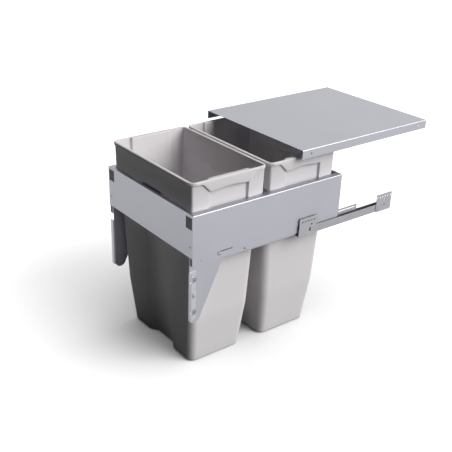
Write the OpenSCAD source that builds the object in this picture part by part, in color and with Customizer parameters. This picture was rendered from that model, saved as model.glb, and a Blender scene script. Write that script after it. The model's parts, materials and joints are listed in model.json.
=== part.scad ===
// Pull-out waste bin unit: an open sheet-steel frame with two hanging bins, on
// telescopic runners under a fixed lid. Millimetres. X runs from the left cabinet
// wall to the right one, Y from the front edge into the cabinet, Z up. The origin is
// midway between the walls, at the lid's front edge, level with the plates' hole rows.

/* [Cabinet] */
// Clear width between the cabinet's side walls
cabinet_w = 412; // [400:1:560]
// How far the unit is drawn out in this pose
drawn_out = 341; // [300:1:420]
// Full travel of the runners
full_travel = 500; // [460:5:520]

/* [Lid] */
// Length of the lid, front to back
lid_l = 484; // [400:1:560]
// Height of the lid's top over the frame's top edge
lid_over_frame = 100.2; // [88:0.1:120]
// Thickness of the lid's sheet
lid_sheet = 1; // [0.8:0.1:2]
// Height of the lid's side flanges
lid_flange_h = 24.4; // [18:0.1:30]
// Outer radius of the lid's bends
lid_bend_r = 2.2; // [2:0.1:4]
// Radius of the screw holes in the lid's flanges
lid_hole_r = 2.3; // [1.5:0.1:3]
// Distance of the lid's screw holes from its front and rear edges
lid_hole_inset = 31; // [15:1:60]

/* [Frame] */
// Gap between the frame and each cabinet wall
side_gap = 4.8; // [4.4:0.1:8]
// Length of the frame, front to back
frame_l = 500; // [480:1:540]
// Height of the frame's panels
frame_h = 116; // [110:1:122]
// Height of the frame's top edge over the plates' hole rows
frame_top = 108; // [104:1:112]
// Thickness of the frame's sheet
sheet = 1.2; // [0.8:0.1:1.6]
// Outer radius of the bends along the frame's top edges
bend_r = 2.4; // [1.8:0.1:4]
// Width of the side panels' top flanges
side_flange = 18; // [12:0.1:18.3]
// Width of the front panel's top flange
front_flange = 10.5; // [5:0.5:10.5]
// Width of the front and rear panels' bottom returns
bottom_return = 8; // [5:0.5:12]
// Width of the window at each top corner of the front panel
window_w = 26; // [15:1:26]
// Height of the window at each top corner of the front panel
window_h = 32; // [15:1:40]
// Steel left between a window and the frame's corner
window_edge = 3.5; // [3:0.5:6]
// Steel left between a window and the frame's top edge
window_drop = 7; // [5:0.5:12]
// Radius of the small holes near the front panel's bottom corners
front_hole_r = 2.2; // [1.5:0.1:3]
// Distance of those holes from the frame's corners
front_hole_inset = 11; // [8:1:20]
// Height of those holes over the frame's bottom edge
front_hole_rise = 29; // [20:1:45]
// Width of the bar between the bins
bar_w = 14; // [8:0.5:15]
// Height of the bar between the bins
bar_h = 36; // [20:1:60]
// Distance of the ledges' tops below the frame's top edge
ledge_drop = 103.8; // [98:0.1:105]
// Width of the ledges that carry the bins
ledge_w = 29; // [26:0.5:36]
// Height of the ledges' upright legs
ledge_leg = 20; // [12:1:30]
// Length of the legs of the corner angles
angle_leg = 11; // [8:1:14]
// Length of the front angles' legs that close the windows
window_leg = 30; // [29:1:36]
// Height of the corner angles
angle_h = 50; // [36:1:55]

/* [Bins] */
// Gap between the frame's outer side and the bins' rims
bin_side_gap = 14.1; // [13.6:0.1:16]
// Gap between the frame's front and the front bin's rim
bin_front_gap = 3.4; // [3:0.1:6]
// Gap between the frame's rear and the rear bin's rim
bin_rear_gap = 11; // [4:0.5:20]
// Gap between the two rims
bin_gap = 5.1; // [4:0.1:12]
// Height of the bins
bin_h = 548; // [480:1:580]
// Height of the rims over the frame's top edge
rim_over_frame = 76.5; // [70:0.1:82]
// Wall of the bins
bin_wall = 3; // [2:0.1:4]
// Height of the rim's lip
lip_h = 8; // [4:0.5:12]
// How far the lip stands out from the collar
lip_out = 3.8; // [3.2:0.1:4.5]
// Draft of the collar's ends, from the lip to the shoulder
collar_draft_x = 3; // [2:0.1:5]
// Set-back of the collar's long faces under the lip
collar_set_y = 6.2; // [5.7:0.1:7]
// Draft of the collar's long faces, from the lip to the shoulder
collar_draft_y = 4.3; // [3.3:0.1:8]
// Radius of the rim's corners
rim_r = 21; // [12:1:22]
// Radius of the collar's corners
collar_r = 5; // [4:1:12]
// Step from the collar's long faces to the body's, at the shoulder
body_step_y = 0.9; // [0.5:0.1:8]
// Radius of the body's corners at the shoulder
body_r = 23.5; // [14:0.5:32]
// Taper of the body's ends, from the shoulder to the break line
upper_taper_x = 8; // [3:0.5:12]
// Taper of the body's long faces, from the shoulder to the break line
upper_taper_y = 10.5; // [3:0.5:14]
// Taper of the body's ends, from the break line to the foot
lower_taper_x = 16.5; // [5:0.5:20]
// Taper of the body's long faces, from the break line to the foot
lower_taper_y = 11.5; // [5:0.5:16]
// Height of the break line over the foot
break_h = 141; // [80:1:200]
// Radius of the body's corners at the foot
foot_r = 21.5; // [14:0.5:40]
// Height of the sloping edge round the foot
foot_round = 7.5; // [4:0.5:12]
// Depth of the sloping edge round the foot
foot_draw = 5; // [2:0.5:8]
// Half the width of the groove down each long face, at the face
groove_half_w = 66; // [40:1:80]
// Half the width of the groove's floor
groove_floor_half_w = 38; // [20:1:39]
// Depth of the groove at the foot
groove_foot_depth = 17; // [8:0.5:22]
// Depth of the groove at the shoulder
groove_top_depth = 3; // [1:0.1:5]
// Half the length of the hand recess in each end of a bin
recess_half_l = 59; // [40:1:80]
// Depth of the hand recess behind the rim
recess_depth = 11; // [9:0.1:14]
// Thickness of the rim over the hand recess
grip_t = 3.5; // [2.5:0.1:5]
// Thickness of the apron that hangs from the rim
apron_t = 2.5; // [2:0.1:3]
// Height of the apron below the rim
apron_h = 31; // [20:0.5:38]
// Half the length of the apron at the lip
apron_half_l = 88; // [80:1:92]
// How far the apron's lower edge rises in its middle
apron_arch = 4; // [0:0.5:8]

/* [Runners] */
// Steel of the runners
rail_t = 1.5; // [1.2:0.1:1.6]
// Steel of the fixing plates
plate_t = 1.5; // [1.2:0.1:1.8]
// Room on each side of the middle rail
rail_gap = 1.4; // [0.8:0.1:1.8]
// Room between the nested inner walls
nest_gap = 1; // [0.6:0.1:1.4]
// Width of the middle rail
middle_w = 5.2; // [4.8:0.1:5.8]
// Length of the middle rail
middle_l = 400; // [380:1:440]
// Distance of the middle rail's front end behind the lid's front edge when closed
middle_closed = 7.5; // [7:0.1:12]
// Height of the drawer rail that shows below the frame
rail_show = 22.5; // [18:0.5:24]
// Distance of the cabinet rail's top below the plates' hole rows
cabinet_rail_drop = 20; // [16:0.5:24]
// Height of the cabinet rail
cabinet_rail_h = 22; // [18:0.5:26]
// Diameter of the runners' balls
ball_d = 4; // [3.4:0.1:4.4]
// Play over and under a ball
ball_play = 0.25; // [0.1:0.05:0.4]
// Distance between neighbouring balls
ball_pitch = 24; // [12:1:40]
// Thickness of the ball cages
cage_t = 0.8; // [0.5:0.1:1.2]
// Depth of the plastic plugs in the drawer rails' front ends
cap_l = 5; // [3:0.5:5.5]

/* [Fixing plates] */
// Distance of the front plates behind the lid's front edge
plate_front = 9; // [7.5:0.5:20]
// Length of the front plates
front_plate_l = 68; // [66:1:80]
// Distance of the rear plates behind the lid's front edge
rear_plate_y = 311; // [280:1:340]
// Length of the rear plates
rear_plate_l = 62; // [60:1:80]
// Height of the plates
plate_h = 54; // [50:1:60]
// Height of the plates' tops over the hole rows
plate_rise = 10; // [7:0.5:12]
// Radius of the plates' corners
plate_r = 3; // [1:0.5:5]
// Number of holes in a row
row_count = 6; // [4:1:6]
// Distance between neighbouring holes of a row
row_pitch = 10.667; // [8:0.001:10.9]
// Radius of the holes in a row
row_hole_r = 2.3; // [1.5:0.1:3]
// Radius of the screw holes below the rows
screw_hole_r = 2.6; // [2:0.1:3.5]
// Distance from the front plates' row to the screw hole below it
row_to_screw = 12; // [9:0.5:14]
// Distance from the rear plates' row to the upper hole below it
rear_row_to_hole = 9; // [8.5:0.5:10]
// Distance between the two holes below the rear plates' row
rear_hole_pitch = 16; // [14:0.5:18]
// Length of the upright slots in the rear plates' row
row_slot_l = 7.5; // [6:0.5:8]
// Length of the upright adjusting slot
slot_l = 12; // [8:0.5:14]
// Half the width of the upright adjusting slot
slot_r = 2.5; // [1.5:0.1:3.5]

/* [Door brackets] */
// Thickness of the gussets
gusset_t = 2; // [1.5:0.1:2.5]
// Length of the gussets along the rail
gusset_l = 108; // [80:1:130]
// Height of the gussets below the frame
gusset_h = 195; // [180:1:220]
// Radius of the gussets' lower ends
gusset_r = 17; // [12:0.5:19]
// Thickness of the door brackets
bracket_t = 2; // [1.5:0.1:2.5]
// Height of the door brackets
bracket_h = 140; // [130:1:150]
// Distance of the door brackets' tops below the frame
bracket_drop = 44; // [40:1:55]
// Depth of the door brackets' side legs
bracket_leg = 21; // [20:0.5:26]
// Width of the door brackets' front flanges
bracket_flange = 12.5; // [12:0.5:14]
// Radius of the door screw holes
door_hole_r = 2.2; // [1.5:0.1:2.5]
// Distance between the two door screw holes
door_hole_pitch = 90; // [60:1:100]
// Distance between the two adjusters of a bracket
adjuster_pitch = 94; // [80:1:100]
// Radius of the adjusters' discs
adjuster_r = 9; // [7:0.5:9.5]
// Thickness of the adjusters' discs
adjuster_t = 2.5; // [1.5:0.1:3.5]
// Offset of a disc from the axis that it turns about
adjuster_throw = 1; // [0.5:0.1:1.2]
// Radius of the adjusters' shanks
adjuster_pin_r = 3; // [2:0.1:4]
// Radius of the clamp screws' heads
clamp_head_r = 4.5; // [3.5:0.1:5.5]

/* [Hidden] */
$fn = 48;
hull_fn = 32;

steel = [0.74, 0.74, 0.78];
zinc = [0.66, 0.66, 0.69];
dark_plastic = [0.16, 0.16, 0.17];
bin_grey = [0.80, 0.79, 0.81];

// Overrun of the cuts, thickness of a hull's slices and clearances
overrun = 1;
sliver = 0.02;
seat_gap = 0.3;
pin_gap = 0.05;
cage_hole_gap = 0.15;
end_gap = 2;

// Frame in the drawn-out pose
frame_y = -drawn_out;
frame_rear_y = frame_y + frame_l;
frame_x = cabinet_w / 2 - side_gap;
frame_bottom = frame_top - frame_h;
ledge_top = frame_top - ledge_drop;
ledge_bottom = ledge_top - sheet;
panel_in_x = frame_x - sheet;

// Runner members, measured inwards from the right cabinet wall
wall_x = cabinet_w / 2;
plate_in_x = wall_x - plate_t;
drawer_out_x = panel_in_x;
drawer_outer_in_x = drawer_out_x - rail_t;
middle_x1 = drawer_outer_in_x - rail_gap;
middle_x0 = middle_x1 - middle_w;
rail_x = (middle_x0 + middle_x1) / 2;
nest_out_x = middle_x0 - rail_gap;
nest_in_x = nest_out_x - rail_t;
drawer_inner_out_x = nest_in_x - nest_gap;
drawer_in_x = drawer_inner_out_x - rail_t;
gusset_in_x = drawer_in_x - gusset_t;
bracket_out_x = drawer_in_x + bracket_t;

drawer_top = ledge_bottom;
drawer_web = drawer_top - rail_t;
drawer_bottom = frame_bottom - rail_show;
cabinet_rail_top = -cabinet_rail_drop;
cabinet_rail_bottom = cabinet_rail_top - cabinet_rail_h;
cabinet_web = cabinet_rail_bottom + rail_t;
ball_room = ball_d + 2 * ball_play;
middle_top = drawer_web - ball_room;
middle_bottom = cabinet_web + ball_room;
upper_ball_z = drawer_web - ball_room / 2;
lower_ball_z = cabinet_web + ball_room / 2;
cabinet_rail_end = rear_plate_y + rear_plate_l;

// Middle rail: an upper flange, a slotted web and a boxed lower part
middle_flange_t = 2;
middle_web_t = 1.2;
middle_web_h = 6;
middle_slot_h = 4.6;
middle_slot_l = 72;
middle_slot_inset = 5;
middle_y0 = middle_closed - drawn_out / 2;
middle_y1 = middle_y0 + middle_l;

// Ends of the cages: a cage moves three quarters or one quarter as far as the bins
left_to_go = full_travel - drawn_out;
upper_ratio_share = 0.75;
lower_ratio_share = 0.25;
upper_cage_y0 = middle_closed - full_travel / 2 + end_gap + upper_ratio_share * left_to_go;
upper_cage_y1 = min(-full_travel + frame_l - sheet + upper_ratio_share * left_to_go,
    middle_closed + middle_l - upper_ratio_share * drawn_out) - end_gap;
lower_cage_y0 = plate_front + end_gap + lower_ratio_share * left_to_go;
lower_cage_y1 = min(middle_closed + middle_l - full_travel / 2 + lower_ratio_share * left_to_go,
    cabinet_rail_end - lower_ratio_share * drawn_out) - end_gap;

// Details of the drawer rail's outer wall, from its front end
rail_hole_y = 28;
rail_hole_r = 1.6;
catch_y = 78;
catch_l = 10;
catch_h = 11;
catch_w = 3;
catch_slot_y = 86;
catch_slot_l = 39;
catch_slot_h = 2.4;
catch_drop = 1;
rail_eye_y = 165;
rail_eye_r = 2.8;
rail_eye_rise = 4;

// Rivets
rivet_r = 2;
rivet_head_r = 3.4;
rivet_head_h = 1.2;
rivet_flat_h = 0.8;
rail_rivet_inset = 40;
rail_rivet_count = 4;
gusset_rivet_drop = 4;
gusset_rivet_inset = 18;
gusset_rivet_count = 3;
plate_rivet_inset = 14;

// Plate details
row_inset = 10.6;
screw_inset = 45;
slot_inset = 40;
slot_drop = 27;
spare_hole_r = 1.8;
spare_hole_inset = 64;
spare_hole_drop = 17;
notch_inset = 19;
notch_r = 2.4;
rear_hole_inset = 34;
rear_notch_inset = 7;
rear_notch_rise = 6.5;

// Door bracket details
gusset_set = 2.5;
gusset_bottom = frame_bottom - gusset_h;
gusset_top = ledge_bottom - sheet;
bracket_top = frame_bottom - bracket_drop;
bracket_bottom = bracket_top - bracket_h;
bracket_mid = (bracket_top + bracket_bottom) / 2;
adjuster_y = frame_y + bracket_t + seat_gap + adjuster_throw + adjuster_r;
door_hole_x = drawer_in_x + bracket_flange - door_hole_inset();
adjuster_socket_r = 2.6;
adjuster_socket_h = 1.2;
clamp_r = 2.2;
clamp_head_h = 2.6;
clamp_slot_l = 14;
clamp_recess_w = 1.2;
clamp_recess_l = 5.4;

// Bins
bin_w = 2 * (frame_x - bin_side_gap);
bin_l = (frame_l - bin_front_gap - bin_rear_gap - bin_gap) / 2;
bin_front_y = frame_y + bin_front_gap + bin_l / 2;
bin_rear_y = bin_front_y + bin_l + bin_gap;
rim_top = frame_top + rim_over_frame;
bin_foot = rim_top - bin_h;
shoulder_z = ledge_top + seat_gap;
break_z = bin_foot + break_h;
ledge_in_x = panel_in_x - ledge_w;
body_half_w = ledge_in_x - end_gap;
body_half_l = bin_l / 2 - collar_set_y - collar_draft_y - body_step_y;
groove_rise = 104;
groove_fade = 6;
recess_drop = 60;
recess_toe = 12;
apron_slope = 36;
apron_knee_w = 12;
apron_knee_h = 4;
bin_half_w = bin_w / 2;
bin_half_l = bin_l / 2;

function door_hole_inset() = door_hole_r * 2;

// Solids between two values on each axis
module block(x, y, z)
    translate([x[0], y[0], z[0]]) cube([x[1] - x[0], y[1] - y[0], z[1] - z[0]]);

// A round bar along X from x0 to x1
module bar_x(x0, x1, r)
    translate([x0, 0, 0]) rotate([0, 90, 0]) cylinder(r = r, h = x1 - x0);

// The children as drawn on the right, or mirrored to the left
module on_side(left)
    mirror([left ? 1 : 0, 0, 0]) children();

module on_both_sides()
    for (left = [false, true]) on_side(left) children();

// Upright slot through a plate, along X
module slot_x(x0, x1, r, l) {
    for (s = [-1, 1]) translate([0, 0, s * (l / 2 - r)]) bar_x(x0, x1, r);
    block([x0, x1], [-r, r], [r - l / 2, l / 2 - r]);
}

// Lid: one sheet with its left and right edges turned down
lid_top = frame_top + lid_over_frame;

module lid_section(w, h, r) {
    translate([-w / 2, -h]) square([w, h - r]);
    translate([r - w / 2, -r]) square([w - 2 * r, r]);
    for (s = [-1, 1]) translate([s * (w / 2 - r), -r]) circle(r = r);
}

module lid_plate() color(steel) difference() {
    translate([0, lid_l, lid_top]) rotate([90, 0, 0]) linear_extrude(lid_l) difference() {
        lid_section(cabinet_w, lid_flange_h, lid_bend_r);
        translate([0, -lid_sheet])
            lid_section(cabinet_w - 2 * lid_sheet, lid_flange_h, lid_bend_r - lid_sheet);
    }
    on_both_sides() for (y = [lid_hole_inset, lid_l - lid_hole_inset])
        translate([0, y, lid_top - lid_flange_h / 2])
            bar_x(wall_x - lid_sheet - overrun, wall_x + overrun, lid_hole_r);
}

// Frame panels: a web with a flange folded inwards at its top
module rounded_corner(w, h, r) {
    translate([-w, -h]) square([w - r, h]);
    translate([-w, -h]) square([w, h - r]);
    translate([-r, -r]) circle(r = r);
}

module fold_section(w, h) difference() {
    rounded_corner(w, h, bend_r);
    translate([-sheet, -sheet]) rounded_corner(w, h, bend_r - sheet);
}

module front_window(s) {
    x0 = frame_x - window_edge - window_w;
    on_side(s < 0) block([x0, x0 + window_w], [frame_y - overrun, frame_y + sheet + overrun],
        [frame_top - window_drop - window_h, frame_top - window_drop]);
}

module end_panel_returns(y0, y1) {
    returns_x = gusset_in_x - end_gap;
    block([-returns_x, returns_x], [y0, y1], [frame_bottom, frame_bottom + sheet]);
}

module frame_front() color(steel) difference() {
    flange_x = frame_x - side_flange;
    union() {
        for (s = [-1, 1]) on_side(s < 0)
            block([flange_x, frame_x], [frame_y, frame_y + sheet], [frame_bottom, frame_top]);
        translate([flange_x, frame_y, frame_top]) rotate([90, 0, -90])
            linear_extrude(2 * flange_x) fold_section(front_flange, frame_h);
        end_panel_returns(frame_y, frame_y + bottom_return);
    }
    for (s = [-1, 1]) {
        front_window(s);
        translate([s * (frame_x - front_hole_inset), frame_y, frame_bottom + front_hole_rise])
            rotate([90, 0, 0])
                cylinder(r = front_hole_r, h = 2 * (sheet + overrun), center = true);
    }
}

// Rear panel, notched at its lower corners so that the middle rails pass
module frame_rear() color(steel) {
    difference() {
        block([-frame_x, frame_x], [frame_rear_y - sheet, frame_rear_y],
            [frame_bottom, frame_top]);
        on_both_sides() block([drawer_in_x, drawer_out_x],
            [frame_rear_y - sheet - overrun, frame_rear_y + overrun],
            [frame_bottom - overrun, drawer_top]);
    }
    end_panel_returns(frame_rear_y - bottom_return, frame_rear_y);
}

module frame_side(left) color(steel) on_side(left)
    translate([frame_x, frame_rear_y - sheet, frame_top]) rotate([90, 0, 0])
        linear_extrude(frame_l - 2 * sheet) fold_section(side_flange, frame_h);

// Bar between the bins, folded down at its front and back
module cross_bar() color(steel) {
    y = (bin_front_y + bin_rear_y) / 2;
    top = frame_top - sheet;
    x = [-frame_x + bend_r, frame_x - bend_r];
    block(x, [y - bar_w / 2, y + bar_w / 2], [top - sheet, top]);
    for (s = [-1, 1])
        block(x, [y + (s * (bar_w - sheet) - sheet) / 2, y + (s * (bar_w - sheet) + sheet) / 2],
            [top - bar_h, top]);
}

// Angles inside the side panels, on which the bins' shoulders sit
module ledge(left) color(zinc) on_side(left) difference() {
    y = [frame_y + sheet, frame_rear_y - sheet];
    union() {
        block([ledge_in_x, panel_in_x], y, [ledge_bottom, ledge_top]);
        block([panel_in_x - sheet, panel_in_x], y, [ledge_bottom, ledge_bottom + ledge_leg]);
    }
    at_rail_rivets() cylinder(r = rivet_r + pin_gap, h = ledge_leg, center = true);
}

// Angles that join the panels inside the frame's corners and close the front windows
module corner_angles() color(zinc) on_both_sides() for (rear = [false, true]) {
    y0 = rear ? frame_rear_y - sheet - angle_leg : frame_y + sheet;
    yw = rear ? frame_rear_y - 2 * sheet : frame_y + sheet;
    top = frame_top - bend_r - end_gap;
    z = [top - angle_h, top];
    leg = rear ? angle_leg : window_leg;
    block([panel_in_x - sheet, panel_in_x], [y0, y0 + angle_leg], z);
    block([panel_in_x - leg, panel_in_x], [yw, yw + sheet], z);
}

// Runners
module at_rail_rivets() {
    span = frame_l - 2 * rail_rivet_inset;
    for (i = [0 : rail_rivet_count - 1])
        translate([rail_x, frame_y + rail_rivet_inset + i * span / (rail_rivet_count - 1),
            drawer_web])
            children();
}

module at_gusset_rivets() {
    span = gusset_l - 2 * gusset_rivet_inset;
    for (i = [0 : gusset_rivet_count - 1])
        translate([0, frame_y + gusset_set + gusset_rivet_inset
            + i * span / (gusset_rivet_count - 1), frame_bottom - gusset_rivet_drop])
            children();
}

module drawer_rail(left) color(zinc) on_side(left) difference() {
    y = [frame_y + sheet, frame_rear_y - sheet];
    union() {
        block([drawer_in_x, drawer_out_x], y, [drawer_web, drawer_top]);
        block([drawer_outer_in_x, drawer_out_x], y, [drawer_bottom, drawer_top]);
        block([drawer_in_x, drawer_inner_out_x], y, [drawer_bottom, drawer_top]);
    }
    at_rail_rivets() cylinder(r = rivet_r + pin_gap, h = 2 * (rail_t + overrun), center = true);
    at_gusset_rivets() bar_x(drawer_in_x - overrun, drawer_inner_out_x + overrun,
        rivet_r + pin_gap);
    rail_wall_cuts();
}

// Catch, slot and holes in the drawer rail's outer wall
module rail_wall_cuts() {
    x = [drawer_outer_in_x - overrun / 2, drawer_out_x + overrun];
    z = frame_bottom - catch_drop;
    y = frame_y + catch_y;
    block(x, [y, y + catch_w], [z - catch_h, z]);
    block(x, [y, y + catch_l], [z - catch_h, z - catch_h + catch_slot_h]);
    block(x, [frame_y + catch_slot_y, frame_y + catch_slot_y + catch_slot_l],
        [z - catch_slot_h, z]);
    translate([0, frame_y + rail_hole_y, (frame_bottom + drawer_bottom) / 2])
        bar_x(x[0], x[1], rail_hole_r);
    translate([0, frame_y + rail_eye_y, drawer_bottom + rail_eye_rise + rail_eye_r])
        bar_x(x[0], x[1], rail_eye_r);
}

module middle_rail(left) color(zinc) on_side(left) difference() {
    y = [middle_y0, middle_y1];
    web_bottom = middle_top - middle_flange_t - middle_web_h;
    union() {
        block([middle_x0, middle_x1], y, [middle_top - middle_flange_t, middle_top]);
        block([rail_x - middle_web_t / 2, rail_x + middle_web_t / 2], y,
            [web_bottom, middle_top]);
        block([middle_x0, middle_x1], y, [middle_bottom, web_bottom]);
    }
    block([middle_x0 + middle_web_t, middle_x1 - middle_web_t],
        [middle_y0 - overrun, middle_y1 + overrun],
        [middle_bottom + middle_web_t, web_bottom - middle_web_t]);
    block([middle_x0, middle_x1],
        [middle_y1 - middle_slot_inset - middle_slot_l, middle_y1 - middle_slot_inset],
        [web_bottom + (middle_web_h - middle_slot_h) / 2,
            web_bottom + (middle_web_h + middle_slot_h) / 2]);
}

module cabinet_rail(left) color(zinc) on_side(left) difference() {
    y = [plate_front, cabinet_rail_end];
    z = [cabinet_rail_bottom, cabinet_rail_top];
    union() {
        block([nest_in_x, plate_in_x], y, [cabinet_rail_bottom, cabinet_web]);
        block([plate_in_x - rail_t, plate_in_x], y, z);
        block([nest_in_x, nest_out_x], y, z);
    }
    at_plate_rivets() bar_x(plate_in_x - rail_t - overrun, plate_in_x + overrun,
        rivet_r + pin_gap);
    adjusting_slot(plate_in_x - rail_t - overrun);
    translate([0, rear_plate_y + rear_hole_inset, -rear_row_to_hole - rear_hole_pitch])
        bar_x(plate_in_x - rail_t - overrun, plate_in_x + overrun, screw_hole_r);
}

// Ball cages and balls
module cage(y0, y1, z, left) color(zinc) on_side(left) difference() {
    block([middle_x0, middle_x1], [y0, y1], [z - cage_t / 2, z + cage_t / 2]);
    at_balls(y0, y1, z)
        cylinder(r = ball_d / 2 + cage_hole_gap, h = cage_t + overrun, center = true);
}

module at_balls(y0, y1, z) {
    count = floor((y1 - y0 - ball_pitch) / ball_pitch);
    for (i = [0 : count])
        translate([rail_x, (y0 + y1) / 2 + (i - count / 2) * ball_pitch, z]) children();
}

module balls(y0, y1, z) color(steel) on_both_sides() at_balls(y0, y1, z) sphere(d = ball_d);

module upper_cage(left) cage(upper_cage_y0, upper_cage_y1, upper_ball_z, left);
module lower_cage(left) cage(lower_cage_y0, lower_cage_y1, lower_ball_z, left);

// Plastic plug in the front end of the drawer rail
module rail_cap(left) color(dark_plastic) on_side(left)
    block([drawer_inner_out_x, drawer_outer_in_x],
        [frame_y + sheet, frame_y + sheet + cap_l], [drawer_bottom, drawer_web]);

// Fixing plates on the cabinet's walls
module plate_blank(y0, l) {
    z0 = plate_rise - plate_h;
    x = [plate_in_x, wall_x];
    block(x, [y0 + plate_r, y0 + l - plate_r], [z0, plate_rise]);
    block(x, [y0, y0 + l], [z0 + plate_r, plate_rise - plate_r]);
    for (y = [y0 + plate_r, y0 + l - plate_r], z = [z0 + plate_r, plate_rise - plate_r])
        translate([0, y, z]) bar_x(x[0], x[1], plate_r);
}

module plate_cut(r, y, z)
    translate([0, y, z]) bar_x(plate_in_x - overrun, wall_x + overrun, r);

module at_plate_rivets()
    for (y = [plate_front + plate_rivet_inset, plate_front + front_plate_l - plate_rivet_inset,
        rear_plate_y + plate_rivet_inset, cabinet_rail_end - plate_rivet_inset])
        translate([0, y, (cabinet_rail_top + cabinet_rail_bottom) / 2]) children();

// Upright slot through a front plate and the rail behind it
module adjusting_slot(x0)
    translate([0, plate_front + slot_inset, -slot_drop])
        slot_x(x0, wall_x + overrun, slot_r, slot_l);

module front_plate(left) color(steel) on_side(left) difference() {
    plate_blank(plate_front, front_plate_l);
    for (i = [0 : row_count - 1])
        plate_cut(row_hole_r, plate_front + row_inset + i * row_pitch, 0);
    plate_cut(screw_hole_r, plate_front + screw_inset, -row_to_screw);
    plate_cut(spare_hole_r, plate_front + spare_hole_inset, -spare_hole_drop);
    plate_cut(notch_r, plate_front + notch_inset, plate_rise - plate_h);
    adjusting_slot(plate_in_x - overrun);
    at_plate_rivets() bar_x(plate_in_x - overrun, wall_x + overrun, rivet_r + pin_gap);
}

module rear_plate(left) color(steel) on_side(left) difference() {
    row_y = rear_plate_y + (rear_plate_l - (row_count - 1) * row_pitch) / 2;
    plate_blank(rear_plate_y, rear_plate_l);
    for (i = [0 : row_count - 1]) translate([0, row_y + i * row_pitch, 0])
        slot_x(plate_in_x - overrun, wall_x + overrun, row_hole_r, row_slot_l);
    for (i = [0, 1])
        plate_cut(screw_hole_r, rear_plate_y + rear_hole_inset,
            -rear_row_to_hole - i * rear_hole_pitch);
    plate_cut(notch_r, rear_plate_y + rear_notch_inset, plate_rise - plate_h + rear_notch_rise);
    at_plate_rivets() bar_x(plate_in_x - overrun, wall_x + overrun, rivet_r + pin_gap);
}

module plate_rivets() color(steel) on_both_sides() at_plate_rivets() {
    bar_x(plate_in_x - rail_t, wall_x, rivet_r);
    bar_x(plate_in_x - rail_t - rivet_flat_h, plate_in_x - rail_t, rivet_head_r);
}

module rail_rivets() color(steel) on_both_sides() at_rail_rivets() {
    cylinder(r = rivet_r, h = ledge_top - drawer_web + rivet_head_h);
    translate([0, 0, ledge_top - drawer_web]) cylinder(r = rivet_head_r, h = rivet_head_h);
}

// Gussets: the outline is a right angle whose long side runs tangent to a round foot
function polar(centre, r, angle) = [centre[0] + r * cos(angle), centre[1] + r * sin(angle)];

module gusset(left) color(steel) on_side(left) difference() {
    heel = [frame_y + gusset_set + gusset_r, gusset_bottom + gusset_r];
    tip = [frame_y + gusset_set + gusset_l, drawer_bottom];
    reach = tip - heel;
    start = atan2(reach[1], reach[0]) - acos(gusset_r / norm(reach));
    steps = 16;
    outline = concat(
        [[frame_y + gusset_set, gusset_top], [tip[0], gusset_top], tip],
        [for (i = [0 : steps]) polar(heel, gusset_r, start - i * (start + 180) / steps)]);
    translate([gusset_in_x, 0, 0]) rotate([90, 0, 90]) linear_extrude(gusset_t)
        polygon(outline);
    at_gusset_rivets() bar_x(gusset_in_x - overrun, drawer_in_x + overrun, rivet_r + pin_gap);
    at_adjusters() bar_x(gusset_in_x - overrun, drawer_in_x + overrun,
        adjuster_pin_r + pin_gap);
    translate([0, adjuster_y, bracket_mid])
        bar_x(gusset_in_x - overrun, drawer_in_x + overrun, clamp_r + pin_gap);
}

module gusset_rivets() color(steel) on_both_sides() at_gusset_rivets() {
    bar_x(gusset_in_x, drawer_inner_out_x, rivet_r);
    bar_x(gusset_in_x - rivet_head_h, gusset_in_x, rivet_head_r);
}

// Door brackets with their adjusters and clamp screws
module at_adjusters(which = [-1, 1])
    for (s = which) translate([0, adjuster_y, bracket_mid + s * adjuster_pitch / 2]) children();

module door_bracket(left) color(steel) on_side(left) difference() {
    x = [drawer_in_x, bracket_out_x];
    z = [bracket_bottom, bracket_top];
    union() {
        block(x, [frame_y, frame_y + bracket_leg], z);
        block([drawer_in_x, drawer_in_x + bracket_flange], [frame_y, frame_y + bracket_t], z);
    }
    at_adjusters() bar_x(x[0] - overrun, x[1] + overrun, adjuster_pin_r + pin_gap);
    translate([0, adjuster_y, bracket_mid])
        slot_x(x[0] - overrun, x[1] + overrun, clamp_r + pin_gap, clamp_slot_l);
    for (s = [-1, 1])
        translate([door_hole_x, frame_y + bracket_t / 2, bracket_mid + s * door_hole_pitch / 2])
            rotate([90, 0, 0])
                cylinder(r = door_hole_r, h = bracket_t + 2 * overrun, center = true);
}

module adjuster(left, s) color(zinc) on_side(left) at_adjusters([s]) difference() {
    face = bracket_out_x + seat_gap;
    union() {
        bar_x(gusset_in_x, face + adjuster_t, adjuster_pin_r);
        translate([0, 0, adjuster_throw]) bar_x(face, face + adjuster_t, adjuster_r);
    }
    translate([face + adjuster_t - adjuster_socket_h, 0, 0]) rotate([0, 90, 0])
        cylinder(r = adjuster_socket_r, h = adjuster_socket_h + overrun, $fn = 6);
}

module clamp_screws() color(zinc) on_both_sides()
    translate([0, adjuster_y, bracket_mid]) difference() {
        head_x = bracket_out_x + clamp_head_h;
        union() {
            bar_x(gusset_in_x, bracket_out_x, clamp_r);
            bar_x(bracket_out_x, head_x, clamp_head_r);
        }
        for (turned = [0, 90]) rotate([turned, 0, 0])
            block([head_x - clamp_recess_w, head_x + overrun],
                [-clamp_recess_l / 2, clamp_recess_l / 2],
                [-clamp_recess_w / 2, clamp_recess_w / 2]);
    }

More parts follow.
